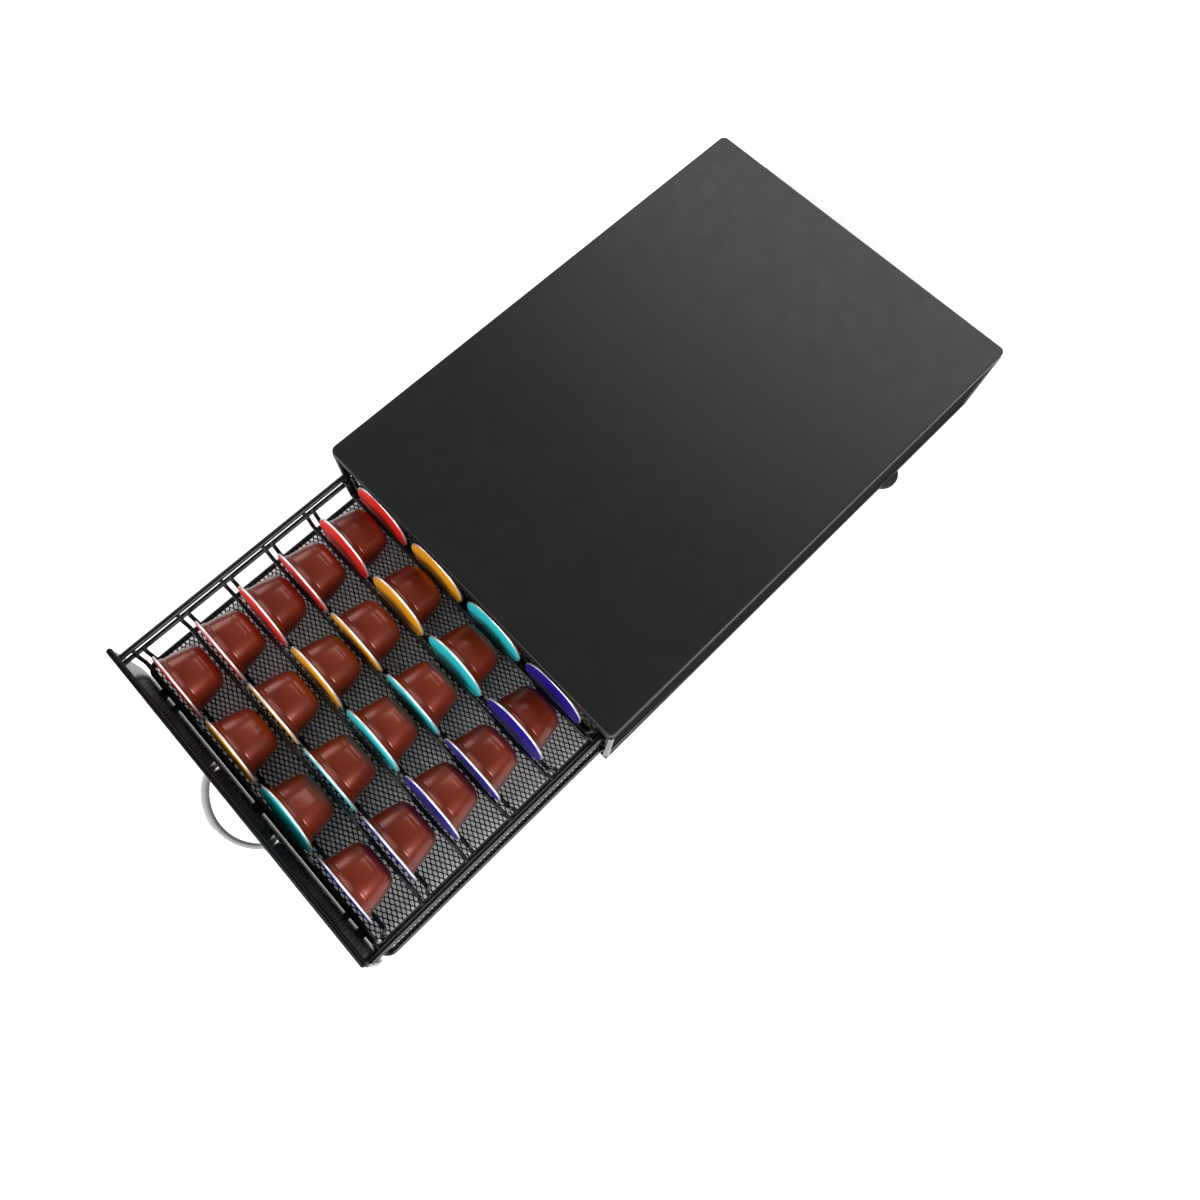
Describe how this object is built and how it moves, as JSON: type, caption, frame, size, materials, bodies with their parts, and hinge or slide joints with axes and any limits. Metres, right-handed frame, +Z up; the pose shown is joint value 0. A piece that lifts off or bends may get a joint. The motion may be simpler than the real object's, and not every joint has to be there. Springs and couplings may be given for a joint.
{
  "type": "coffee pod drawer",
  "caption": "Low wire and mesh cabinet with a flat steel top and one sliding drawer that holds rows of coffee pods on edge between pairs of wires.",
  "frame": {"origin": "on the table, under the middle of the whole outline with the drawer open as pictured", "axes": "+Z up, +Y from the drawer's front panel to the cabinet's back, +X to the right seen from the front"},
  "size_m": [0.1994, 0.4318, 0.0565],
  "materials": {
    "satin_black_sheet": "satin black powder coat",
    "gloss_black_panel": "glossy black paint",
    "black_wire": "black coated steel wire",
    "black_mesh": "black coated expanded mesh",
    "chrome": "polished chrome",
    "black_rubber": "matt black rubber",
    "plated_screw": "zinc plated steel",
    "brown_cup": "glossy brown lacquer with a bare rolled rim",
    "red_lid": "red lacquered foil",
    "orange_lid": "orange lacquered foil",
    "teal_lid": "teal lacquered foil",
    "blue_lid": "violet blue lacquered foil"
  },
  "bodies": {
    "cabinet": {"top_panel": "satin_black_sheet", "left_mesh": "black_mesh", "right_mesh": "black_mesh", "back_mesh": "black_mesh", "left_front_post": "black_wire", "left_rear_post": "black_wire", "right_front_post": "black_wire", "right_rear_post": "black_wire", "left_base_wire": "black_wire", "right_base_wire": "black_wire", "rear_base_wire": "black_wire", "front_top_wire": "black_wire", "rear_top_wire": "black_wire", "cross_wire_1": "black_wire", "cross_wire_2": "black_wire", "cross_wire_3": "black_wire", "cross_wire_4": "black_wire", "cross_wire_5": "black_wire", "left_guide": "satin_black_sheet", "right_guide": "satin_black_sheet", "left_stop_tab": "satin_black_sheet", "right_stop_tab": "satin_black_sheet", "left_front_foot": "black_rubber", "right_front_foot": "black_rubber", "left_rear_foot": "black_rubber", "right_rear_foot": "black_rubber"},
    "drawer": {"front_panel": "gloss_black_panel", "handle": "chrome", "handle_screws": "plated_screw", "front_tabs": "black_wire", "floor_frame_wire": "black_wire", "floor_mesh": "black_mesh", "left_outer_rail": "black_wire", "right_outer_rail": "black_wire", "left_inner_rail": "black_wire", "right_inner_rail": "black_wire", "drawer_rear_wire": "black_wire", "left_drawer_post": "black_wire", "right_drawer_post": "black_wire", "left_stop_lug": "black_wire", "right_stop_lug": "black_wire", "wire_pair_1": "black_wire", "wire_pair_2": "black_wire", "wire_pair_3": "black_wire", "wire_pair_4": "black_wire", "wire_pair_5": "black_wire", "wire_pair_6": "black_wire", "wire_pair_7": "black_wire", "wire_pair_8": "black_wire", "wire_pair_9": "black_wire", "wire_pair_10": "black_wire", "pod_cups_red": "brown_cup", "pod_lids_red": "red_lid", "pod_cups_orange": "brown_cup", "pod_lids_orange": "orange_lid", "pod_cups_teal": "brown_cup", "pod_lids_teal": "teal_lid", "pod_cups_blue": "brown_cup", "pod_lids_blue": "blue_lid"}
  },
  "joints": [
    {"name": "drawer_slide", "type": "slide", "parent": "cabinet", "child": "drawer", "axis": [0, -1, 0], "range_m": [-0.1353, 0.10205]}
  ]
}
